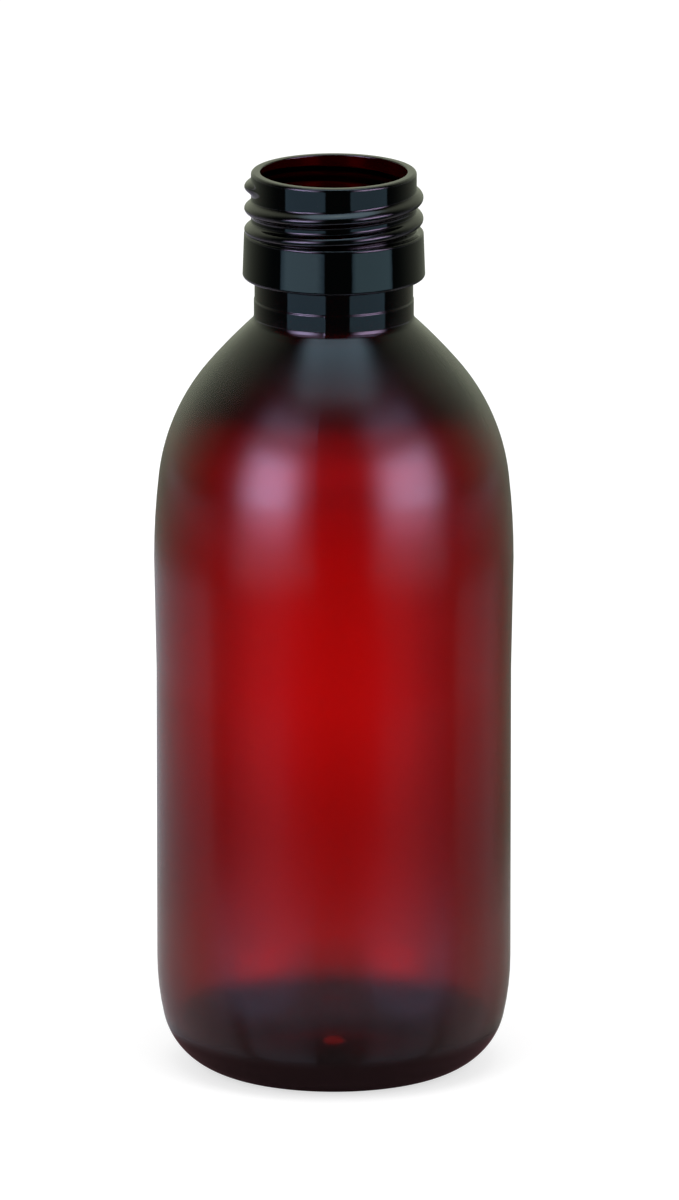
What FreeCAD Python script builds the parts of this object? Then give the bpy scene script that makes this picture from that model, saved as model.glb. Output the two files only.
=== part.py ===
# PET bottle for syrup with a 28 mm roll-on pilfer-proof screw neck
# One hollow blown piece standing on z = 0, mouth up, front towards -Y
# Lengths are in millimetres and angles in degrees

import FreeCAD, Part
import math
import os

Vec = FreeCAD.Vector

# Overall height, table to sealing lip
total_height = 140.8

# Label panel, sunk below the belly, and the soft step between them
panel_radius = 27.25
belly_radius = 27.6
belly_below_lip = 60.8
belly_step_length = 17.5

# Shoulder, three tangent arcs from the belly towards the neck
shoulder_low_radius = 114.0
shoulder_low_angle = 6.6
shoulder_mid_radius = 32.2
shoulder_mid_angle = 40.4
shoulder_top_radius = 90.0
neck_corner_bevel = 1.5

# Heel, three tangent arcs from the label panel down to the standing ring
heel_high_radius = 41.0
heel_high_angle = 12.8
heel_mid_radius = 10.6
heel_mid_angle = 68.0
heel_low_radius = 5.5

# Base, standing ring, push-up and the gate mark left by moulding
ring_inner_radius = 16.9
push_up = 2.2
gate_radius = 1.7
gate_depth = 0.5
gate_taper = 0.15

# Plain neck under the collar with the parting step of the blow mould
neck_radius = 12.15
neck_foot_radius = 12.25
neck_step_below_lip = 20.0
neck_step_length = 0.15

# Locking collar that holds the pilfer-proof band
collar_below_lip = 9.4
collar_length = 7.0
collar_bottom_radius = 13.975
collar_top_radius = 13.75
collar_bottom_bevel = 0.4
collar_top_bevel = 0.35
collar_root_bevel = 0.3

# Mouth, sealing lip and bore
root_radius = 12.68
bore_radius = 11.25
lip_outer_bevel = 0.45
lip_inner_bevel = 0.2

# Screw thread, right-handed bead that starts at the left of the front
thread_outer_radius = 13.7
thread_pitch = 3.3
thread_turns = 2.3
thread_start_angle = 208.0
thread_start_depth = 2.19
thread_foot_width = 2.3
thread_shoulder_width = 1.3
thread_crest_width = 0.7
thread_crest_bevel = 0.35
thread_end_share = 0.15
thread_buried = 0.45
thread_run_in = 30.0
thread_run_out = 40.0
thread_section_step = 12.0

# Wall, thin in the body and thicker towards neck and base
wall_body = 0.4
wall_belly = 0.55
wall_ring = 1.0
wall_gate = 2.0
inner_shoulder_low_radius = 85.0
inner_shoulder_low_angle = 11.4
inner_shoulder_radius = 18.0
inner_shoulder_angle = 44.0
inner_neck_bevel = 1.0
inner_heel_high_radius = 40.6
inner_heel_low_radius = 9.5
inner_ring_inner_radius = 17.2

# Heights that follow, so that a taller body keeps its shoulder and neck
belly_height = total_height - belly_below_lip
panel_top = belly_height - belly_step_length
neck_step_height = total_height - neck_step_below_lip
collar_top = total_height - collar_below_lip
collar_bottom = collar_top - collar_length


# Profile paths, points (r, z) and edges in the XZ plane

def sin(angle):
    return math.sin(math.radians(angle))


def cos(angle):
    return math.cos(math.radians(angle))


def at(r, z):
    return Vec(r, 0, z)


class Path:
    """A run of tangent lines and arcs in the half plane y = 0."""

    def __init__(self, r, z, heading=0.0):
        self.r, self.z, self.heading = r, z, heading
        self.edges = []

    def line_to(self, r, z):
        if math.hypot(r - self.r, z - self.z) > 1e-6:
            self.edges.append(Part.makeLine(at(self.r, self.z), at(r, z)))
            self.heading = math.degrees(math.atan2(z - self.z, r - self.r))
        self.r, self.z = r, z
        return self

    def arc_to(self, middle, end):
        arc = Part.Arc(at(self.r, self.z), middle, end)
        self.edges.append(arc.toShape())
        self.r, self.z = end.x, end.z
        return self

    def turn(self, radius, angle):
        """Arc that leaves along the heading; a positive angle turns left."""
        side = 1 if angle > 0 else -1
        cr = self.r - side * radius * sin(self.heading)
        cz = self.z + side * radius * cos(self.heading)

        def on(h):
            return at(cr + side * radius * sin(h), cz - side * radius * cos(h))

        self.arc_to(on(self.heading + angle / 2), on(self.heading + angle))
        self.heading += angle
        return self

    def bevel(self, size, angle):
        """Straight cut across the corner that an arc of this radius rounds."""
        side = 1 if angle > 0 else -1
        turned = self.heading + angle
        r = self.r + side * size * (sin(turned) - sin(self.heading))
        z = self.z - side * size * (cos(turned) - cos(self.heading))
        self.line_to(r, z)
        return self.face_along(turned)

    def face_along(self, heading):
        self.heading = heading
        return self


# Heel and shoulder arcs

def heel_width(high, mid, low):
    """How far the heel's arcs draw in from the wall to the standing ring."""
    a, b = heel_high_angle, heel_mid_angle
    return high * (1 - cos(a)) + mid * (cos(a) - cos(b)) + low * cos(b)


def add_shoulder(path):
    """From the belly up to where the neck starts."""
    path.face_along(90).turn(shoulder_low_radius, shoulder_low_angle)
    path.turn(shoulder_mid_radius, shoulder_mid_angle - shoulder_low_angle)
    reach = neck_foot_radius + neck_corner_bevel - path.r
    reach += shoulder_top_radius * cos(shoulder_mid_angle)
    last = math.degrees(math.acos(
        reach / (shoulder_top_radius + neck_corner_bevel)))
    path.turn(shoulder_top_radius, last - shoulder_mid_angle)
    path.bevel(neck_corner_bevel, -last)


# Base dome between the axis and the flat of the standing ring

def add_base(path, flat_radius, floor, rise, start_radius):
    """Part of a sphere, from start_radius out to the flat of the ring."""
    radius = (flat_radius ** 2 + rise ** 2) / (2 * rise)

    def on(r):
        return at(r, floor + rise - radius + math.sqrt(radius ** 2 - r ** 2))

    path.line_to(start_radius, on(start_radius).z)
    path.arc_to(on((start_radius + flat_radius) / 2), on(flat_radius))


def outer_path():
    heel = heel_width(heel_high_radius, heel_mid_radius, heel_low_radius)
    path = Path(0, push_up - gate_depth)
    path.line_to(gate_radius - gate_taper, push_up - gate_depth)
    add_base(path, ring_inner_radius, 0, push_up, gate_radius)
    path.line_to(panel_radius - heel, 0)
    path.face_along(0).turn(heel_low_radius, 90 - heel_mid_angle)
    path.turn(heel_mid_radius, heel_mid_angle - heel_high_angle)
    path.turn(heel_high_radius, heel_high_angle)
    path.line_to(panel_radius, panel_top)
    path.line_to(belly_radius, belly_height)
    add_shoulder(path)
    add_neck(path)
    return path


# Neck finish, from the plain neck up to the sealing lip

def add_neck(path):
    path.line_to(neck_foot_radius, neck_step_height)
    path.line_to(neck_radius, neck_step_height + neck_step_length)
    path.line_to(neck_radius, collar_bottom - collar_root_bevel)
    path.bevel(collar_root_bevel, -90)
    path.line_to(collar_bottom_radius - collar_bottom_bevel, collar_bottom)
    path.bevel(collar_bottom_bevel, 90)
    path.line_to(collar_top_radius, collar_top - collar_top_bevel)
    path.face_along(90).bevel(collar_top_bevel, 90)
    path.line_to(root_radius + collar_root_bevel, collar_top)
    path.bevel(collar_root_bevel, -90)
    path.line_to(root_radius, total_height - lip_outer_bevel)
    path.bevel(lip_outer_bevel, 90)
    path.line_to(bore_radius + lip_inner_bevel, total_height)
    path.bevel(lip_inner_bevel, 90)


def add_inner_shoulder(path):
    """Two arcs and a cone that draw in faster than the outside does."""
    path.face_along(90).turn(inner_shoulder_low_radius,
                             inner_shoulder_low_angle)
    path.turn(inner_shoulder_radius,
              inner_shoulder_angle - inner_shoulder_low_angle)
    edge = inner_neck_bevel * (1 - cos(inner_shoulder_angle))
    run = path.r - bore_radius - edge
    path.line_to(path.r - run, path.z + run / math.tan(
        math.radians(inner_shoulder_angle)))
    path.bevel(inner_neck_bevel, -inner_shoulder_angle)


def inner_path():
    """Inside wall from the middle of the base up to the bore."""
    heel = heel_width(inner_heel_high_radius, inner_heel_low_radius,
                      inner_heel_low_radius)
    rise = push_up + wall_gate - wall_ring
    path = Path(0, push_up + wall_gate)
    add_base(path, inner_ring_inner_radius, wall_ring, rise, 0)
    path.line_to(panel_radius - wall_body - heel, wall_ring)
    path.face_along(0).turn(inner_heel_low_radius, 90 - heel_high_angle)
    path.turn(inner_heel_high_radius, heel_high_angle)
    path.line_to(panel_radius - wall_body, panel_top)
    path.line_to(belly_radius - wall_belly, belly_height)
    add_inner_shoulder(path)
    return path


def revolved_body():
    """Wall turned all the way round, with its seam at the back."""
    outer, inner = outer_path(), inner_path()
    bore = Part.makeLine(at(inner.r, inner.z), at(outer.r, outer.z))
    axis = Part.makeLine(at(0, push_up + wall_gate),
                         at(0, push_up - gate_depth))
    edges = Part.sortEdges(outer.edges + inner.edges + [bore, axis])[0]
    face = Part.Face(Part.Wire(edges))
    body = face.revolve(Vec(0, 0, 0), Vec(0, 0, 1), 360)
    body.rotate(Vec(0, 0, 0), Vec(0, 0, 1), 90)
    return body


# Thread, sections of a rounded bead set along a falling helix

def bead_height(turned):
    """Share of full height: eased up at the start and down at the end."""
    total = 360 * thread_turns
    way = min(1.0, turned / thread_run_in, (total - turned) / thread_run_out)
    eased = (1 - cos(180 * max(0.0, way))) / 2
    return thread_end_share + (1 - thread_end_share) * eased


def bead_section(turned):
    foot = root_radius - thread_buried
    full = thread_outer_radius - foot
    tall = full * bead_height(turned)
    side = full - thread_crest_bevel
    slope = (thread_foot_width - thread_shoulder_width) / 2
    slope = slope / (side - thread_buried)
    half_foot = thread_foot_width / 2 + slope * thread_buried
    z = total_height - thread_start_depth - thread_pitch * turned / 360
    angle = thread_start_angle - turned

    def point(out, up):
        r = foot + out * tall / full
        return Vec(r * cos(angle), r * sin(angle), z + up)

    rise = [(0, half_foot), (side, thread_shoulder_width / 2),
            (full, thread_crest_width / 2)]
    corners = [point(out, up) for out, up in rise]
    corners += [point(out, -up) for out, up in reversed(rise)]
    return Part.makePolygon(corners + corners[:1])


def thread():
    count = round(360 * thread_turns / thread_section_step)
    turns = [360 * thread_turns * i / count for i in range(count + 1)]
    return Part.makeLoft([bead_section(t) for t in turns], True, False)


def bottle():
    body = revolved_body()
    whole = body.fuse(thread())
    return whole.Solids[0] if len(whole.Solids) == 1 else whole


if __name__ == "__main__":
    os.makedirs("parts", exist_ok=True)
    shape = bottle()
    shape.exportStep("parts/bottle.step")
    box = shape.optimalBoundingBox()
    print("solids", len(shape.Solids), "faces", len(shape.Faces),
          "valid", shape.isValid())
    print("size %.2f x %.2f x %.2f, z %.3f to %.3f" % (
        box.XLength, box.YLength, box.ZLength, box.ZMin, box.ZMax))
    print("plastic %.2f cm3" % (shape.Volume / 1000))
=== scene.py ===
import math

import bpy
import numpy as np
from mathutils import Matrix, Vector


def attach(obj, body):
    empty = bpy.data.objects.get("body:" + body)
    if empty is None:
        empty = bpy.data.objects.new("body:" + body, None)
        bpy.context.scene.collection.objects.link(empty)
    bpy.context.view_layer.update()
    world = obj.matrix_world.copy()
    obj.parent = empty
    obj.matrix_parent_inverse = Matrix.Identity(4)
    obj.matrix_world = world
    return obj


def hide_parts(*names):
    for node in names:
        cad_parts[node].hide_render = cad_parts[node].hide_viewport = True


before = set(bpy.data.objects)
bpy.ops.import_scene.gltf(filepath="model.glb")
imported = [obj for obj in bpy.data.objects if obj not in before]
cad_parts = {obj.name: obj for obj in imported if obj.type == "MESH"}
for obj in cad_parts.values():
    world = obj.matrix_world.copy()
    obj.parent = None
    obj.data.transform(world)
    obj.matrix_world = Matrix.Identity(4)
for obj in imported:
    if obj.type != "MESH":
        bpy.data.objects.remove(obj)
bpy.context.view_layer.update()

scene = bpy.context.scene
scene.view_settings.view_transform = "Standard"


# small helpers for node trees

def node(tree, kind, inputs=None, **settings):
    # new node; each input is a plain value or the socket that feeds it
    made = tree.nodes.new("ShaderNode" + kind)
    for name, value in settings.items():
        setattr(made, name, value)
    for key, value in (inputs or {}).items():
        if isinstance(value, bpy.types.NodeSocket):
            tree.links.new(value, made.inputs[key])
        else:
            made.inputs[key].default_value = value
    return made


def calc(tree, operation, a, b=0.0):
    return node(tree, "Math", {0: a, 1: b}, operation=operation).outputs[0]


def product(tree, first, *others):
    for other in others:
        first = calc(tree, "MULTIPLY", first, other)
    return first


def total(tree, first, *others):
    for other in others:
        first = calc(tree, "ADD", first, other)
    return first


def largest(tree, first, *others):
    for other in others:
        first = calc(tree, "MAXIMUM", first, other)
    return first


def without(tree, value):
    # what is left of one
    return calc(tree, "SUBTRACT", 1.0, value)


def size(tree, value):
    return calc(tree, "ABSOLUTE", value)


def ease(tree, value, low, high, outLow=0.0, outHigh=1.0):
    # smooth step of value from low to high
    inputs = {"Value": value, "From Min": low, "From Max": high,
              "To Min": outLow, "To Max": outHigh}
    made = node(tree, "MapRange", inputs, interpolation_type="SMOOTHSTEP")
    return made.outputs[0]


def blend(tree, share, first, second):
    # colour between the first at 0 and the second at 1
    made = node(tree, "Mix", {0: share, 6: first, 7: second}, data_type="RGBA")
    return made.outputs[2]


def distance(tree, place, squash):
    # length of a place vector, after each axis is multiplied by its squash
    squashed = node(tree, "VectorMath", {0: place, 1: squash}, operation="MULTIPLY")
    made = node(tree, "VectorMath", {0: squashed.outputs[0]}, operation="LENGTH")
    return made.outputs["Value"]


def degreesAround(tree, right, front):
    # direction seen from above: nought straight ahead, positive to the right
    return calc(tree, "DEGREES", calc(tree, "ARCTAN2", right, front))


def newGroup(name, inputs, outputs):
    tree = bpy.data.node_groups.new(name, "ShaderNodeTree")
    for label, kind in inputs:
        tree.interface.new_socket(label, in_out="INPUT", socket_type=kind)
    for label, kind in outputs:
        tree.interface.new_socket(label, in_out="OUTPUT", socket_type=kind)
    return tree, tree.nodes.new("NodeGroupInput"), tree.nodes.new("NodeGroupOutput")


def newMaterial(name):
    material = bpy.data.materials.new(name)
    material.use_nodes = True
    return material, material.node_tree, material.node_tree.nodes["Principled BSDF"]


# camera, a long lens so that the bottle's sides stay upright

cameraView = {
    "aim": (0.0, 0.0, 0.070),  # metres, on the bottle's axis
    "distance": 3.0, "reach": 50,
    "elevation": 14.25,        # degrees above the table
    "lens": 585.9, "sensor": 36,
    "shift": (0.0047, 0.0170),
}


def makeCamera(view):
    data = bpy.data.cameras.new("camera")
    data.lens, data.sensor_width = view["lens"], view["sensor"]
    data.shift_x, data.shift_y = view["shift"]
    data.clip_end = view["reach"]
    camera = bpy.data.objects.new("camera", data)
    tilt = math.radians(view["elevation"])
    away = Vector((0, -math.cos(tilt), math.sin(tilt)))
    camera.location = Vector(view["aim"]) + away * view["distance"]
    camera.rotation_euler = (-away).to_track_quat("-Z", "Y").to_euler()
    scene.collection.objects.link(camera)
    scene.camera = camera


makeCamera(cameraView)
print("camera placed")


# bottle, all sizes in millimetres and degrees

shell = {
    "height": 140.8,
    "gateRadius": 1.7, "gateDepth": 0.5, "pushUp": 2.2, "ringInner": 16.9,
    "gateInset": 0.3, "gateRound": 0.15, "gateLean": 70,
    "heel": ((5.5, 22.0), (10.6, 55.2), (41.0, 12.8)),  # arc radius and turn
    "panelRadius": 27.25, "panelTop": 62.5, "bellyRadius": 27.6, "bellyHeight": 80.0,
    "shoulder": ((114.0, 6.6), (32.2, 33.8)), "shoulderTop": 90.0, "neckCorner": 1.5,
    "footRadius": 12.25, "stepHeight": 120.8, "stepLength": 0.15, "neckRadius": 12.15,
    "collarBottom": 124.4, "collarTop": 131.4, "collarLow": 13.975, "collarHigh": 13.75,
    "collarRoot": 0.3, "collarLowRound": 0.4, "collarHighRound": 0.35,
    "rootRadius": 12.68, "boreRadius": 11.25, "lipRound": 0.45, "lipInnerRound": 0.2,
    "innerHeel": ((9.5, 77.2), (40.6, 12.8)), "innerRing": 17.2,
    "innerShoulder": ((85.0, 11.4), (18.0, 32.6)), "innerNeckCorner": 1.0,
    "wallPanel": 0.4, "wallBelly": 0.55, "wallRing": 1.0, "wallGate": 0.7,
    "columns": 180,            # faces round the bottle
}

thread = {
    "crest": 13.7, "pitch": 3.3, "turns": 2.3, "start": 208.0, "startDepth": 2.19,
    "shoulderHalf": 0.65, "shoulderDrop": 0.35, "flankSlope": 1.34, "buried": 0.45,
    "runIn": 30.0, "runOut": 40.0, "endShare": 0.15,
    "crestRound": 0.45, "footRound": 0.3,
    # where the bead runs out on the collar's top, rows are lifted off the ledge
    "ledgeStart": 0.5, "ledgeRows": (0.0, 1.0, 2.4), "ledgeLift": 0.3,
    "ledgeAbove": 0.15, "ledgeFull": 0.6,
}

mouldLine = {
    "angles": (264.0, 84.0), "height": 0.04, "halfWidth": 0.2, "bodyShare": 0.3,
    "fadeHeights": (2.0, 6.0, 100.0, 116.0, 120.7, 120.9),
    "columns": (-1.2, -0.7, -0.35, 0.0, 0.35, 0.7, 1.2), "clearance": 0.3,
}


class Outline:
    # a run of straight and round stretches through (r, z), as arrays of rows

    def __init__(self, r, z):
        self.runs = [np.array([[r, z]], float)]
        self.heading = 0.0

    def go(self, r, z, gap=2.5, close=0.12):
        # straight, in even rows; where they lie closer than 1 mm, a longer stretch
        # also gets a close row at each end, for a crisp edge
        start, end = self.runs[-1][-1], np.array([r, z], float)
        length = float(np.hypot(*(end - start)))
        if length > 1e-6:
            share = np.linspace(0, 1, max(1, round(length / gap)) + 1)
            if gap < 1.0 < length:
                share = np.unique(np.append(share, [close / length, 1 - close / length]))
            self.runs.append(start + (end - start) * share[1:, None])
            self.heading = math.degrees(math.atan2(*(end - start)[::-1]))
        return self

    def bend(self, radius, turn, step=3.0, heading=None):
        # arc that leaves along the heading, to the left where turn is positive:
        # centre plus radius times (sine, minus cosine) of the heading on the way
        if heading is not None:
            self.heading = heading
        side = 1.0 if turn > 0 else -1.0
        count = max(2, round(abs(turn) / step))
        way = np.radians(self.heading + turn * np.arange(0, count + 1) / count)
        ring = side * radius * np.stack([np.sin(way), -np.cos(way)], 1)
        self.runs.append(self.runs[-1][-1] + (ring - ring[0])[1:])
        self.heading += turn
        return self

    def rows(self):
        return np.concatenate(self.runs)


def heelWidth(arcs):
    # how far a chain of arcs, from level to upright, moves away from the axis
    heading, width = 0.0, 0.0
    for radius, turn in arcs:
        first, last = math.radians(heading), math.radians(heading + turn)
        width += radius * (math.sin(last) - math.sin(first))
        heading += turn
    return width


def addDome(line, outerRadius, floor, rise, startRadius):
    # part of a sphere through (0, floor + rise) and (outerRadius, floor)
    radius = (outerRadius ** 2 + rise ** 2) / (2 * rise)
    first = math.degrees(math.asin(startRadius / radius))
    last = math.degrees(math.asin(outerRadius / radius))
    startZ = floor + rise - radius + math.sqrt(radius ** 2 - startRadius ** 2)
    line.go(startRadius, startZ)
    line.bend(radius, first - last, step=0.9, heading=-first)


def addCollar(line, s):
    # from the plain neck out over the collar to the foot of the thread
    root, low, high = s["collarRoot"], s["collarLowRound"], s["collarHighRound"]
    line.go(s["neckRadius"], s["collarBottom"] - root, gap=0.6).bend(root, -90, step=15)
    line.go(s["collarLow"] - low, s["collarBottom"], gap=0.4).bend(low, 90, step=13)
    line.go(s["collarHigh"], s["collarTop"] - high, gap=0.9)
    line.bend(high, 90, step=13, heading=90)
    line.go(s["rootRadius"] + root, s["collarTop"], gap=0.2).bend(root, -90, step=15)


def outsideRows(s):
    # from the middle of the underside out, up the body and over the lip
    line = Outline(0, s["pushUp"] - s["gateDepth"])
    line.go(s["gateRadius"] - s["gateInset"], s["pushUp"] - s["gateDepth"], gap=0.5)
    for turn in (s["gateLean"], -s["gateLean"]):
        line.bend(s["gateRound"], turn, step=14)
    addDome(line, s["ringInner"], 0, s["pushUp"], s["gateRadius"])
    line.go(s["panelRadius"] - heelWidth(s["heel"]), 0, gap=0.4)
    line.heading = 0.0
    for radius, turn in s["heel"]:
        line.bend(radius, turn)
    line.go(s["panelRadius"], s["panelTop"]).go(s["bellyRadius"], s["bellyHeight"])
    line.heading = 90.0
    for radius, turn in s["shoulder"]:
        line.bend(radius, turn, step=1.8)
    # the last arc ends where it meets the rounded corner at the neck's foot
    reach = s["footRadius"] + s["neckCorner"] - line.runs[-1][-1, 0]
    reach += s["shoulderTop"] * math.cos(math.radians(line.heading - 90))
    last = math.degrees(math.acos(reach / (s["shoulderTop"] + s["neckCorner"])))
    line.bend(s["shoulderTop"], last + 90 - line.heading, step=1.0)
    line.bend(s["neckCorner"], 90 - line.heading, step=9)
    line.go(s["footRadius"], s["stepHeight"], gap=0.6)
    line.go(s["neckRadius"], s["stepHeight"] + s["stepLength"], gap=0.08)
    addCollar(line, s)
    line.go(s["rootRadius"], s["height"] - s["lipRound"], gap=0.09)
    line.bend(s["lipRound"], 90, step=11)
    line.go(s["boreRadius"] + s["lipInnerRound"], s["height"], gap=0.4)
    line.bend(s["lipInnerRound"], 90, step=15)
    return line.rows()


def insideRows(s):
    # from the middle of the base up to the foot of the bore
    line = Outline(0, s["pushUp"] + s["wallGate"])
    wall = s["panelRadius"] - s["wallPanel"]
    rise = s["pushUp"] + s["wallGate"] - s["wallRing"]
    addDome(line, s["innerRing"], s["wallRing"], rise, 0)
    line.go(wall - heelWidth(s["innerHeel"]), s["wallRing"], gap=0.5)
    line.heading = 0.0
    for radius, turn in s["innerHeel"]:
        line.bend(radius, turn)
    line.go(wall, s["panelTop"]).go(s["bellyRadius"] - s["wallBelly"], s["bellyHeight"])
    line.heading = 90.0
    for radius, turn in s["innerShoulder"]:
        line.bend(radius, turn, step=2.5)
    lean = math.radians(line.heading - 90)
    r, z = line.runs[-1][-1]
    run = r - s["boreRadius"] - s["innerNeckCorner"] * (1 - math.cos(lean))
    line.go(r - run, z + run / math.tan(lean), gap=1.5)
    line.bend(s["innerNeckCorner"], 90 - line.heading, step=9)
    return line.rows()


def softMax(a, b, width):
    # the larger of two arrays, rounded off where they are within width of each other
    near = np.clip(1 - np.abs(a - b) / width, 0, None)
    return np.maximum(a, b) + near ** 2 * width / 4


def beadRadius(angle, z, s, t):
    # thread: at each turn the crest falls by one pitch; a flank line down from the
    # crest's shoulder, capped by the crest radius, times a height eased in and out
    foot = s["rootRadius"] - t["buried"]
    whole = 360 * t["turns"]
    radius = np.full(np.broadcast(angle, z).shape, foot)
    for lap in range(math.ceil(t["turns"])):
        turned = (t["start"] - angle) % 360 + 360 * lap
        centre = s["height"] - t["startDepth"] - t["pitch"] * turned / 360
        inward = t["shoulderHalf"] - np.abs(z - centre)
        flank = t["crest"] - t["shoulderDrop"] + inward * t["flankSlope"]
        bead = -softMax(-flank, -t["crest"] + 0 * flank, t["crestRound"])
        way = np.minimum(turned / t["runIn"], (whole - turned) / t["runOut"])
        eased = (1 - np.cos(np.pi * np.clip(way, 0, 1))) / 2
        share = t["endShare"] + (1 - t["endShare"]) * eased
        bead = foot + (bead - foot) * share
        radius = np.maximum(radius, np.where(turned <= whole, bead, foot))
    return radius


def columnAngles(s, m):
    # even steps, with a few closer ones at the two mould lines
    even = np.arange(s["columns"]) * 360 / s["columns"]
    extra = np.concatenate([at + np.array(m["columns"]) for at in m["angles"]]) % 360
    gap = np.abs((even[:, None] - extra[None] + 180) % 360 - 180).min(1)
    return np.sort(np.concatenate([even[gap > m["clearance"]], extra]))


def addThread(r, z, angle, outside, s, t):
    # the bead stands on the rows above the collar; where it runs out over the
    # collar's top, the rows there spread upwards
    along = np.cumsum(np.hypot(*np.diff(outside, axis=0).T))[:, None]
    high = outside[1:, 1:] > s["collarTop"] - t["ledgeStart"]
    onNeck = high & (outside[1:, :1] > s["rootRadius"] - 0.01)
    corner = along[onNeck].min() + t["ledgeStart"]
    ledge = np.interp(along, corner + np.array(t["ledgeRows"]), [0, 1, 0])
    cover = beadRadius(angle, s["collarTop"] + t["ledgeAbove"], s, t) - s["rootRadius"]
    z = z + t["ledgeLift"] * ledge * np.clip(cover / t["ledgeFull"], 0, 1)
    bead = softMax(r, beadRadius(angle, z, s, t), t["footRound"])
    return np.where(onNeck, bead, r), z


def addMouldLines(r, z, angle, m):
    # low ridges, bell-shaped across, fading from the neck to the body
    share = m["bodyShare"]
    fade = np.interp(z, m["fadeHeights"], [0, share, share, 1, 1, 0])
    for at in m["angles"]:
        across = np.radians((angle - at + 180) % 360 - 180) * r
        r = r + m["height"] * fade * np.exp(-(across / m["halfWidth"]) ** 2)
    return r


def bottleSurface(s, t, m):
    # r and z over (row, column): the outside line turned round the axis, plus the
    # thread's bead and the mould lines, then over the lip and down the inside line
    outside, bore = outsideRows(s), insideRows(s)[::-1]
    angle = columnAngles(s, m)[None]
    r = outside[1:, :1] + 0 * angle
    z = outside[1:, 1:] + 0 * angle
    r, z = addThread(r, z, angle, outside, s, t)
    r = addMouldLines(r, z, angle, m)
    # share of the way: up to a half on the outside, from a half on the inside
    share = np.concatenate([np.linspace(0.01, 0.49, len(r)),
                            np.linspace(0.51, 0.99, len(bore) - 1)])
    r = np.concatenate([r, bore[:-1, :1] + 0 * angle])
    z = np.concatenate([z, bore[:-1, 1:] + 0 * angle])
    return r, z, np.radians(angle + 0 * r), share, outside[0, 1], bore[-1, 1]


def gridFaces(rows, columns):
    # quads between neighbouring rows, closed round the axis, and a fan at each end;
    # each face's first corner is in its own column
    here = np.arange(rows * columns).reshape(rows, columns)
    beside = np.roll(here, -1, axis=1)
    quads = np.stack([here[:-1], beside[:-1], beside[1:], here[1:]], -1).reshape(-1, 4)
    first, last = rows * columns, rows * columns + 1
    start = np.stack([here[0], np.full(columns, first), beside[0]], -1)
    end = np.stack([here[-1], beside[-1], np.full(columns, last)], -1)
    return quads.tolist() + start.tolist() + end.tolist()


def readAll(items, key):
    # one whole number of every item, as an array
    values = np.empty(len(items), int)
    items.foreach_get(key, values)
    return values


def gridUv(mesh, rows, columns, share):
    # u round the axis, v the share of the way along the outline
    corner = readAll(mesh.loops, "vertex_index")
    row, column = np.divmod(corner, columns)
    faces = mesh.polygons
    first = np.repeat(readAll(faces, "loop_start"), readAll(faces, "loop_total"))
    onPole = row >= rows
    v = np.append(share, [0.0, 1.0])[np.where(onPole, rows + corner - rows * columns, row)]
    # the last strip of faces ends at 1, and each pole lies over its own face
    wraps = (column == 0) & (column[first] == columns - 1)
    u = np.where(wraps, 1.0, column / columns)
    u = np.where(onPole, (column[first] + 0.5) / columns, u)
    layer = mesh.uv_layers.new(name="along")
    layer.uv.foreach_set("vector", np.stack([u, v], -1).ravel())


millimetre = 0.001  # metres


def makeMesh(name, points, faces):
    # smooth piece from points in millimetres
    mesh = bpy.data.meshes.new(name)
    mesh.from_pydata((points * millimetre).tolist(), [], faces)
    mesh.validate()
    mesh.shade_smooth()
    piece = bpy.data.objects.new(name, mesh)
    scene.collection.objects.link(piece)
    return piece


def makeBottle():
    # radius times cosine and sine of the angle, and the two poles on the axis
    r, z, angle, share, startZ, endZ = bottleSurface(shell, thread, mouldLine)
    points = np.stack([r * np.cos(angle), r * np.sin(angle), z], -1).reshape(-1, 3)
    points = np.concatenate([points, [[0, 0, startZ], [0, 0, endZ]]])
    piece = makeMesh("bottleShell", points, gridFaces(*r.shape))
    gridUv(piece.data, *r.shape, share)
    return piece


bottle = makeBottle()
print("bottle made,", len(bottle.data.vertices), "points,",
      len(bottle.data.polygons), "faces")


# amber plastic: clear, coloured through its depth, mirror smooth at the neck;
# heights and radii in metres

amber = {
    "ior": 1.575,
    "depthColor": (0.889, 0.0, 0.0, 1.0),
    "density": 9000.0,         # per metre, so red halves in 0.7 mm
    # tints by how far the wall turns away from the view: facing, turning, edge on
    "bodyTint": (0.92, 0.58, 0.51, 1.0), "turnTint": (0.62, 0.39, 0.34, 1.0),
    "sideTint": (0.44, 0.28, 0.24, 1.0),
    "turnFrom": 0.02, "turnFull": 0.26, "sideFrom": 0.15, "sideFull": 0.90,
    # share of the last two on the shoulder
    "crownShare": 0.75, "crownFrom": 0.084, "crownFull": 0.100,
    "neckTint": (0.035, 0.010, 0.012, 1.0), "tintFrom": 0.107, "tintFull": 0.120,
    # painted shade: the base is darkened for the shaded floor seen through it
    "baseShadeTint": (0.075, 0.035, 0.035, 1.0), "baseFull": 0.0045, "baseFrom": 0.0080,
    "gateTint": (1.0, 0.6, 0.4, 1.0), "gateRadius": 0.0017,
    "neckRough": 0.03, "bodyRough": 0.24, "panelRough": 0.19, "heelRough": 0.11,
    "insideRough": 0.06, "neckFrom": 0.112, "neckFull": 0.1205,
    "panelFull": 0.078, "panelFrom": 0.100, "heelFull": 0.013, "heelFrom": 0.030,
    "bump": 0.12, "bumpDepth": 0.001, "waves": 1.0, "grain": 0.02,
    "scuffs": 0.012, "haze": 0.03,
}

# unevenness that blowing leaves
skin = {
    "waveScale": 55.0, "waveStretch": (1, 1, 0.35), "grainScale": 900.0,
    "scuffScale": 70.0, "scuffStretch": (1, 1, 3.5), "scuffTurn": (0.3, 0.2, 0.0),
    "scuffWidth": 0.006, "patchScale": 110.0, "patchFrom": 0.64, "patchFull": 0.72,
}


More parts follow.
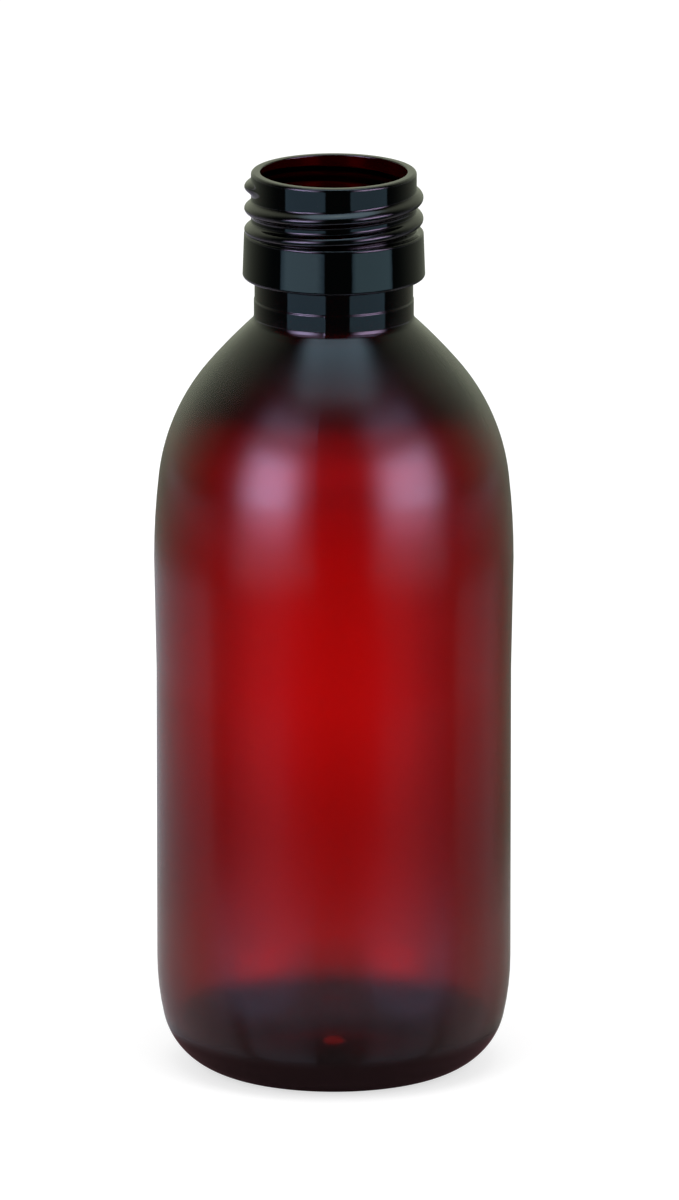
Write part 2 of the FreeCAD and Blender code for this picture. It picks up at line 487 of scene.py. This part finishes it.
def makeSkinGroup(k):
    # slow waves stretched along the bottle, a fine grain, and thin scuffs where a
    # noise passes through its middle value
    tree, inside, outside = newGroup(
        "blownSkin",
        [("Vector", "NodeSocketVector"), ("Waves", "NodeSocketFloat"),
         ("Grain", "NodeSocketFloat")],
        [("Height", "NodeSocketFloat"), ("Scuffs", "NodeSocketFloat"),
         ("Haze", "NodeSocketFloat")])
    place = inside.outputs["Vector"]

    def noise(vector, scale, detail):
        inputs = {"Vector": vector, "Scale": scale, "Detail": detail}
        return node(tree, "TexNoise", inputs).outputs["Fac"]

    long = node(tree, "Mapping", {"Vector": place, "Scale": k["waveStretch"]}).outputs[0]
    waves = product(tree, noise(long, k["waveScale"], 1.0), inside.outputs["Waves"])
    grain = product(tree, noise(place, k["grainScale"], 1.0), inside.outputs["Grain"])
    tree.links.new(total(tree, waves, grain), outside.inputs["Height"])
    slant = node(tree, "Mapping", {"Vector": place, "Scale": k["scuffStretch"],
                                   "Rotation": k["scuffTurn"]}).outputs[0]
    lines = noise(slant, k["scuffScale"], 0.0)
    patch = noise(place, k["patchScale"], 1.0)
    middle = size(tree, calc(tree, "SUBTRACT", lines, 0.5))
    thin = ease(tree, middle, k["scuffWidth"], 0.0)
    some = ease(tree, patch, k["patchFrom"], k["patchFull"])
    tree.links.new(product(tree, thin, some), outside.inputs["Scuffs"])
    tree.links.new(calc(tree, "SUBTRACT", patch, 0.5), outside.inputs["Haze"])
    return tree


def amberTint(tree, a, place, height):
    # colour of what passes the surface: by the turn away from the view, then darker
    # at the neck, painted shade at the base for the shaded floor seen through it, and
    # bright at the gate
    facing = node(tree, "LayerWeight", {"Blend": 0.5}).outputs["Facing"]
    crown = ease(tree, height, a["crownFrom"], a["crownFull"], 1.0, a["crownShare"])
    turning = ease(tree, facing, a["turnFrom"], a["turnFull"])
    tint = blend(tree, product(tree, turning, crown), a["bodyTint"], a["turnTint"])
    edgeOn = ease(tree, facing, a["sideFrom"], a["sideFull"])
    tint = blend(tree, product(tree, edgeOn, crown), tint, a["sideTint"])
    onNeck = ease(tree, height, a["tintFrom"], a["tintFull"])
    tint = blend(tree, onNeck, tint, a["neckTint"])
    # painted shade at the base
    onBase = ease(tree, height, a["baseFull"], a["baseFrom"], 1.0, 0.0)
    tint = blend(tree, onBase, tint, a["baseShadeTint"])
    away = distance(tree, place, (1, 1, 0))
    onGate = calc(tree, "LESS_THAN", away, a["gateRadius"])
    return blend(tree, product(tree, onGate, onBase), tint, a["gateTint"])


def amberRoughness(tree, a, height, along, skinNode):
    # body, panel, neck and heel by height, plus scuffs and haze; the inside is even
    rough = ease(tree, height, a["panelFull"], a["panelFrom"], a["panelRough"], a["bodyRough"])
    rough = ease(tree, height, a["neckFrom"], a["neckFull"], rough, a["neckRough"])
    heel = ease(tree, height, a["heelFull"], a["heelFrom"],
                a["heelRough"] - a["panelRough"], 0.0)
    scuffs = product(tree, skinNode.outputs["Scuffs"], a["scuffs"])
    haze = product(tree, skinNode.outputs["Haze"], a["haze"])
    rough = total(tree, total(tree, rough, heel), total(tree, scuffs, haze))
    within = calc(tree, "GREATER_THAN", along, 0.5)
    return node(tree, "Mix", {0: within, 2: rough, 3: a["insideRough"]}).outputs[0]


def makeAmber(a, skinGroup):
    material, tree, shader = newMaterial("amberPet")
    shader.inputs["IOR"].default_value = a["ior"]
    shader.inputs["Transmission Weight"].default_value = 1.0
    coordinates = node(tree, "TexCoord").outputs
    place = coordinates["Object"]
    height = node(tree, "SeparateXYZ", {0: place}).outputs["Z"]
    along = node(tree, "SeparateXYZ", {0: coordinates["UV"]}).outputs["Y"]
    skinNode = node(tree, "Group", node_tree=skinGroup)
    tree.links.new(place, skinNode.inputs["Vector"])
    skinNode.inputs["Waves"].default_value = a["waves"]
    skinNode.inputs["Grain"].default_value = a["grain"]
    tree.links.new(amberTint(tree, a, place, height), shader.inputs["Base Color"])
    tree.links.new(amberRoughness(tree, a, height, along, skinNode),
                   shader.inputs["Roughness"])
    bump = node(tree, "Bump", {"Strength": a["bump"], "Distance": a["bumpDepth"],
                               "Height": skinNode.outputs["Height"]})
    tree.links.new(bump.outputs[0], shader.inputs["Normal"])
    depth = node(tree, "VolumeAbsorption",
                 {"Color": a["depthColor"], "Density": a["density"]})
    tree.links.new(depth.outputs[0], tree.nodes["Material Output"].inputs["Volume"])
    return material


bottle.data.materials.append(makeAmber(amber, makeSkinGroup(skin)))
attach(bottle, "root")
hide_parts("bottle")
print("plastic made")


# gate plug, the milky spot in the middle of the base where the plastic went in

gate = {
    "radius": 1.75, "low": 1.76, "rim": 2.5, "dome": 0.95, "sides": 40, "rings": 6,
    "footShare": 0.8, "taper": 0.2,
    "color": (0.75, 0.27, 0.09, 1.0), "deepColor": (0.4125, 0.1485, 0.0495, 1.0),
    # glow is painted light: the plug is no lamp
    "cloudScale": 1500.0, "roughness": 0.5, "glow": 0.12,
}


def makeMilkyGate(g):
    # two tones in small clouds, with a faint painted glow in place of the light that
    # the milky plastic would scatter
    material, tree, shader = newMaterial("milkyGate")
    place = node(tree, "TexCoord").outputs["Object"]
    clouds = node(tree, "TexNoise",
                  {"Vector": place, "Scale": g["cloudScale"], "Detail": 2.0})
    tree.links.new(blend(tree, clouds.outputs["Fac"], g["deepColor"], g["color"]),
                   shader.inputs["Base Color"])
    shader.inputs["Roughness"].default_value = g["roughness"]
    # painted glow, in place of light scattered in the milky plastic
    shader.inputs["Emission Color"].default_value = g["color"]
    shader.inputs["Emission Strength"].default_value = g["glow"]
    return material


def makeGatePlug(g):
    # rings from the underside up to the rim, then a dome: radius times the cosine and
    # height times the sine of the angle above the rim
    lift = np.radians(np.linspace(0, 90, g["rings"], endpoint=False))
    r = g["radius"] * np.append([g["footShare"], g["footShare"]], np.cos(lift))
    z = np.append([g["low"], g["rim"] - g["taper"]], g["rim"] + g["dome"] * np.sin(lift))
    turn = np.arange(g["sides"]) * 2 * np.pi / g["sides"]
    ring = np.broadcast_arrays(r[:, None] * np.cos(turn), r[:, None] * np.sin(turn),
                               z[:, None])
    points = np.concatenate([np.stack(ring, -1).reshape(-1, 3),
                             [[0, 0, g["low"]], [0, 0, g["rim"] + g["dome"]]]])
    plug = makeMesh("gatePlug", points, gridFaces(len(r), g["sides"]))
    plug.data.materials.append(makeMilkyGate(g))
    return plug


gatePlug = makeGatePlug(gate)
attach(gatePlug, "root")
print("gate plug made")


# floor, pale and plain, white to the camera; metres from the bottle's axis

ground = {
    "reach": 2.5,              # from the middle to each side
    "color": (0.45, 0.45, 0.45, 1.0), "roughness": 0.9,
    "glow": 0.66,              # added for the camera
    # added for rays through the plastic: far off, and close behind the bottle, with
    # painted shade between the two where the bottle's shadow would fall; and in two steps,
    # painted light for a pair of narrow red streaks in the body's upper half, in place of
    # the softboxes mirrored inside the walls
    "farGlow": 0.82, "farFrom": 0.115, "farFull": 0.225,
    "nearGlow": 0.34, "nearFrom": 0.165, "nearFull": 0.090,
    "streakGlow": 0.58, "streakFrom": 0.265, "streakFull": 0.325,
    "crownGlow": 0.70, "crownFrom": 0.374, "crownFull": 0.392,
    "streakEdge": 0.0170, "streakWithin": 0.0115,
    "innerFrom": 0.0042, "innerFull": 0.0085, "innerDip": -1.4,
    # painted shade: less of it behind the bottle's middle and in a band behind its right side
    "middleDim": 0.68, "middleFull": 0.0030, "middleFrom": 0.0075,
    "rightDim": 0.50, "rightFrom": 0.010, "rightFull": 0.019,
    "rightOut": 0.029, "rightEnd": 0.040,
    # the bottle's own shade on the floor, seen through it, with a hump in its middle
    "shade": (0.02, 0.02, 0.02, 1.0), "shadeFull": 0.0200, "shadeFrom": 0.0700,
    "humpFull": 0.0300, "humpFrom": 0.0425,
    "shadeSquash": (1.8, 1.0, 0.0), "humpSquash": (7.5, 0.77, 0.0),
    # what the plastic mirrors, in front: painted shade near by, then middle, and painted
    # light in a cool tint where the softboxes fall; plain beside the bottle and behind it
    "dimmed": (0.10, 0.10, 0.11, 1.0), "middle": (0.40, 0.43, 0.53, 1.0),
    "cool": (0.50, 0.60, 0.86, 1.0), "plain": (0.44, 0.40, 0.38, 1.0),
    "dimFull": 0.032, "dimFrom": 0.070, "coolFrom": 0.020, "coolFull": 0.040,
    "plainFrom": -0.045, "plainFull": -0.005,
    # the heel's own shade, and how much the mirrored floor covers near by
    "foot": (0.20, 0.105, 0.115, 1.0), "footFull": 0.027, "footFrom": 0.036,
    "cover": 0.55, "coverFull": 0.095, "coverFrom": 0.165,
    # dark farther off, most of all straight ahead, where it ends before the
    # places that the thread's roots mirror
    "dark": (0.03, 0.03, 0.03, 1.0), "darkCover": 0.75,
    "darkFull": 0.475, "darkFrom": 0.503,
    "aheadFull": 26.0, "aheadFrom": 40.0,  # degrees to either side
    "aheadStart": 0.132, "aheadNear": 0.175,
}


def mirroredFloor(tree, g, spot, away, behind, ahead, foot):
    # colour of the floor as the plastic mirrors it, with its light and shade painted in
    # painted light: cool where the softboxes fall on the floor
    aside = ease(tree, size(tree, spot["X"]), g["coolFrom"], g["coolFull"])
    color = blend(tree, aside, g["middle"], g["cool"])
    # painted shade: dim near the bottle
    nearBy = ease(tree, away, g["dimFull"], g["dimFrom"])
    color = blend(tree, nearBy, g["dimmed"], color)
    outward = ease(tree, away, g["coverFull"], g["coverFrom"])
    color = blend(tree, outward, color, g["dark"])
    color = blend(tree, behind, color, g["plain"])
    color = blend(tree, ahead, color, g["dark"])
    return blend(tree, foot, color, g["foot"])


def floorCover(tree, g, away, behind, ahead, foot):
    # how much of the floor the plastic mirrors; the rest shows the room below
    near = ease(tree, away, g["coverFull"], g["coverFrom"], g["cover"], 0.0)
    dark = product(tree, without(tree, behind), g["darkCover"],
                   ease(tree, away, g["darkFrom"], g["darkFull"]))
    return largest(tree, near, dark, ahead, foot)


def glowThrough(tree, g, spot, away, lit):
    # strength of the floor's own light for rays through the plastic: painted light and
    # shade that show through the body
    across = size(tree, spot["X"])
    # painted light: two narrow red streaks and a band above them
    inner = ease(tree, across, g["innerFrom"], g["innerFull"], g["innerDip"], 1.0)
    streak = ease(tree, away, g["streakFrom"], g["streakFull"], 0.0, g["streakGlow"])
    crown = ease(tree, away, g["crownFrom"], g["crownFull"], 0.0, g["crownGlow"])
    streak = total(tree, product(tree, streak, inner), crown)
    within = ease(tree, across, g["streakEdge"], g["streakWithin"])
    # painted shade: darker close behind the bottle, where its shadow would fall
    far = ease(tree, away, g["farFrom"], g["farFull"], 0.0, g["farGlow"])
    far = total(tree, far, product(tree, streak, within))
    near = ease(tree, away, g["nearFull"], g["nearFrom"], g["nearGlow"], 0.0)
    # painted shade: darker behind the middle and in a band behind the right side
    middle = ease(tree, across, g["middleFull"], g["middleFrom"], g["middleDim"], 1.0)
    right = ease(tree, spot["X"], g["rightFrom"], g["rightFull"], 1.0, g["rightDim"])
    right = largest(tree, right, ease(tree, spot["X"], g["rightOut"], g["rightEnd"]))
    glow = total(tree, far, product(tree, near, lit))
    return product(tree, glow, product(tree, middle, right))


def makePaleFloor(g):
    # one look for the camera, one for rays through the plastic, one for mirrored rays;
    # the last two carry painted light and shade
    material, tree, shader = newMaterial("paleFloor")
    shader.inputs["Roughness"].default_value = g["roughness"]
    shader.inputs["Specular IOR Level"].default_value = 0.0
    shader.inputs["Emission Color"].default_value = (1, 1, 1, 1)
    rays = node(tree, "LightPath").outputs
    through = rays["Is Transmission Ray"]
    bounced = product(tree, rays["Is Glossy Ray"], without(tree, through))
    place = node(tree, "TexCoord").outputs["Object"]
    spot = node(tree, "SeparateXYZ", {0: place}).outputs
    away = distance(tree, place, (1, 1, 1))
    behind = ease(tree, spot["Y"], g["plainFrom"], g["plainFull"])
    turned = size(tree, degreesAround(tree, spot["X"], product(tree, spot["Y"], -1.0)))
    ahead = product(tree, ease(tree, turned, g["aheadFrom"], g["aheadFull"]),
                    ease(tree, away, g["aheadStart"], g["aheadNear"]),
                    ease(tree, away, g["darkFrom"], g["darkFull"]))
    foot = ease(tree, away, g["footFrom"], g["footFull"])
    # lit is nought in the bottle's own shade and one outside it
    lit = calc(tree, "MINIMUM", *(
        ease(tree, distance(tree, place, g[name + "Squash"]), g[name + "Full"], g[name + "From"])
        for name in ("shade", "hump")))
    shaded = product(tree, without(tree, lit), through)
    color = blend(tree, shaded, g["color"], g["shade"])
    mirrored = mirroredFloor(tree, g, spot, away, behind, ahead, foot)
    tree.links.new(blend(tree, bounced, color, mirrored), shader.inputs["Base Color"])
    direct = product(tree, rays["Is Camera Ray"], g["glow"])
    seen = product(tree, glowThrough(tree, g, spot, away, lit), through)
    tree.links.new(total(tree, direct, seen), shader.inputs["Emission Strength"])
    bare = product(tree, bounced,
                   without(tree, floorCover(tree, g, away, behind, ahead, foot)))
    tree.links.new(without(tree, bare), shader.inputs["Alpha"])
    return material


def makeFloor(g):
    # a square at the height of the standing ring
    edge = g["reach"] / millimetre
    corners = np.array([[-edge, -edge, 0], [edge, -edge, 0], [edge, edge, 0], [-edge, edge, 0]])
    floor = makeMesh("floor", corners, [[0, 1, 2, 3]])
    floor.data.materials.append(makePaleFloor(g))


makeFloor(ground)
print("floor laid")


# light: a white room behind, a dark one in front with two tall softboxes

studio = {
    "ambient": 0.72,
    "dark": (0.016, 0.022, 0.024, 1.0),
    # elevations, and for the rear degrees from the front
    "under": (0.12, 0.10, 0.11, 1.0), "underFrom": -20.0, "underFull": -45.0,
    "rear": (0.56, 0.60, 0.46, 1.0), "rearFrom": 80.0, "rearFull": 155.0,
    "rearLow": -28.0, "rearHigh": 10.0,
    "backdrop": 1.0, "ceiling": 0.08, "ceilingFrom": 3.0, "ceilingFull": 11.0,
    "onwardFrom": 0.3, "onwardFull": 0.1,  # share of a direction towards the front
    # azimuths, elevations, soft edges across and up, colour
    "windows": {
        "leftCore": (-61, -27, -2.2, 28, 12, 4.0, (4.8, 4.05, 6.6)),
        "rightCore": (34, 72, -2.6, 27, 12, 4.0, (4.6, 3.5, 5.5)),
        "leftHigh": (-66, -22, 34, 50, 12, 9, (1.3, 1.1, 1.7)),
        "rightHigh": (30, 76, 34, 50, 12, 9, (1.0, 0.9, 1.4)),
        # pale edges of the body's two sides
        "leftWing": (-190, -74, -60, -13.8, 8, 0.5, (0.32, 0.30, 0.38)),
        "rightWing": (85, 130, -60, -13.8, 12, 0.5, (0.23, 0.23, 0.27)),
        "leftFlank": (-140, -74, -8.2, -4.0, 10, 1, (0.26, 0.24, 0.30)),
        "rightFlank": (84, 135, -8.2, -4.0, 10, 1, (0.24, 0.23, 0.32)),
        # grey-blue windows in neck and collar
        "leftBand": (-71, -12, -14.3, -8.5, 1.5, 0.8, (0.29, 0.48, 0.64)),
        "rightBand": (23, 79, -14.3, -8.5, 1.5, 0.8, (0.27, 0.45, 0.58)),
        "leftCollar": (-66, -18, -11, -8.3, 5, 0.6, (0.34, 0.50, 0.56)),
        "rightCollar": (26, 76, -11, -8.3, 3, 0.6, (0.22, 0.36, 0.38)),
        "leftLow": (-64, -18, -70, -21, 7, 5, (0.34, 0.36, 0.48)),
        "rightLow": (26, 76, -70, -21, 7, 5, (0.30, 0.32, 0.42)),
        # the box overhead, by share of direction to the right and to the front
        "top": (-0.37, 0.41, -0.3, 0.36, 0.11, 0.22, (1.05, 1.5, 1.85)),
    },
    "topFrom": 0.2, "topFull": 0.4,        # share of a direction upwards
    # lamps that cast the floor's shadow: azimuth and elevation
    "lamps": {"softboxLeft": (-41, 35), "softboxRight": (52, 35), "overhead": (0, 75)},
    "lampPower": 6.0, "lampSize": 0.9, "lampDistance": 1.6,
}


def makeSoftboxGroup():
    # one where a direction's two values lie between their limits, else nought
    names = ["Across", "Up", "Left", "Right", "Low", "High", "Side Edge", "End Edge"]
    tree, inside, outside = newGroup(
        "softboxWindow", [(name, "NodeSocketFloat") for name in names],
        [("Mask", "NodeSocketFloat")])
    given = inside.outputs

    def limit(value, at, edge, outLow, outHigh):
        start = calc(tree, "SUBTRACT", given[at], given[edge])
        end = calc(tree, "ADD", given[at], given[edge])
        return ease(tree, given[value], start, end, outLow, outHigh)

    def between(value, low, high, edge):
        return product(tree, limit(value, low, edge, 0.0, 1.0),
                       limit(value, high, edge, 1.0, 0.0))

    both = product(tree, between("Across", "Left", "Right", "Side Edge"),
                   between("Up", "Low", "High", "End Edge"))
    tree.links.new(both, outside.inputs["Mask"])
    return tree


def addWindows(tree, s, color, ray, front, azimuth, elevation):
    # each softbox adds its colour where the direction falls in its window
    window = makeSoftboxGroup()
    upward = ease(tree, ray["Z"], s["topFrom"], s["topFull"])
    for name, (*limits, light) in s["windows"].items():
        made = node(tree, "Group", node_tree=window)
        across, up = (ray["X"], front) if name == "top" else (azimuth, elevation)
        tree.links.new(across, made.inputs["Across"])
        tree.links.new(up, made.inputs["Up"])
        for key, value in zip(("Left", "Right", "Low", "High", "Side Edge", "End Edge"), limits):
            made.inputs[key].default_value = value
        mask = product(tree, made.outputs[0], upward if name == "top" else 1.0)
        shine = node(tree, "VectorMath", {0: light, "Scale": mask}, operation="SCALE")
        added = node(tree, "VectorMath", {0: color, 1: shine.outputs[0]}, operation="ADD")
        color = added.outputs[0]
    return color


def makeWorld(s):
    world = bpy.data.worlds.new("studio")
    world.use_nodes = True
    scene.world = world
    world.cycles.sampling_method = "NONE"
    tree = world.node_tree
    tree.nodes.clear()

    def background(color, strength):
        made = node(tree, "Background", {"Color": color, "Strength": strength})
        return made.outputs[0]

    ray = node(tree, "SeparateXYZ", {0: node(tree, "TexCoord").outputs["Generated"]}).outputs
    front = product(tree, ray["Y"], -1.0)
    azimuth = degreesAround(tree, ray["X"], front)
    elevation = calc(tree, "DEGREES", calc(tree, "ARCSINE", ray["Z"]))
    # what the plastic mirrors: a dark room, paler below and behind, and the softboxes
    below = ease(tree, elevation, s["underFull"], s["underFrom"], 1.0, 0.0)
    behind = product(tree, ease(tree, size(tree, azimuth), s["rearFrom"], s["rearFull"]),
                     ease(tree, elevation, s["rearLow"], s["rearHigh"]))
    mirrored = blend(tree, below, s["dark"], s["under"])
    mirrored = blend(tree, behind, mirrored, s["rear"])
    mirrored = addWindows(tree, s, mirrored, ray, front, azimuth, elevation)
    # white to the camera; through the plastic the room darkens above the backdrop
    rays = node(tree, "LightPath").outputs
    camera, through = rays["Is Camera Ray"], rays["Is Transmission Ray"]
    room = ease(tree, elevation, s["ceilingFrom"], s["ceilingFull"],
                s["backdrop"], s["ceiling"])
    white = background((1, 1, 1, 1), largest(tree, room, camera))
    shown = largest(tree, rays["Is Glossy Ray"], through)
    light = node(tree, "MixShader", {0: shown, 1: background((1, 1, 1, 1), s["ambient"]),
                                     2: background(mirrored, 1.0)})
    # what leaves the plastic to the back shows the white room, and what is mirrored
    # within it and leaves to the front shows the softboxes
    onward = product(tree, through, ease(tree, front, s["onwardFrom"], s["onwardFull"]))
    whole = node(tree, "MixShader", {0: largest(tree, camera, onward),
                                     1: light.outputs[0], 2: white})
    tree.links.new(whole.outputs[0], node(tree, "OutputWorld").inputs["Surface"])


def addLamp(name, azimuth, elevation, s):
    # area lamp that faces the bottle and isn't seen or mirrored itself
    data = bpy.data.lights.new(name, "AREA")
    data.shape = "SQUARE"
    data.size = s["lampSize"]
    data.energy = s["lampPower"]
    lamp = bpy.data.objects.new(name, data)
    side, tilt = math.radians(azimuth), math.radians(elevation)
    level = math.cos(tilt)
    away = Vector((math.sin(side) * level, -math.cos(side) * level, math.sin(tilt)))
    lamp.location = away * s["lampDistance"]
    lamp.rotation_euler = away.to_track_quat("Z", "Y").to_euler()
    lamp.visible_camera = lamp.visible_glossy = lamp.visible_transmission = False
    scene.collection.objects.link(lamp)


makeWorld(studio)
for lampName, (azimuth, elevation) in studio["lamps"].items():
    addLamp(lampName, azimuth, elevation, studio)
print("lights set")
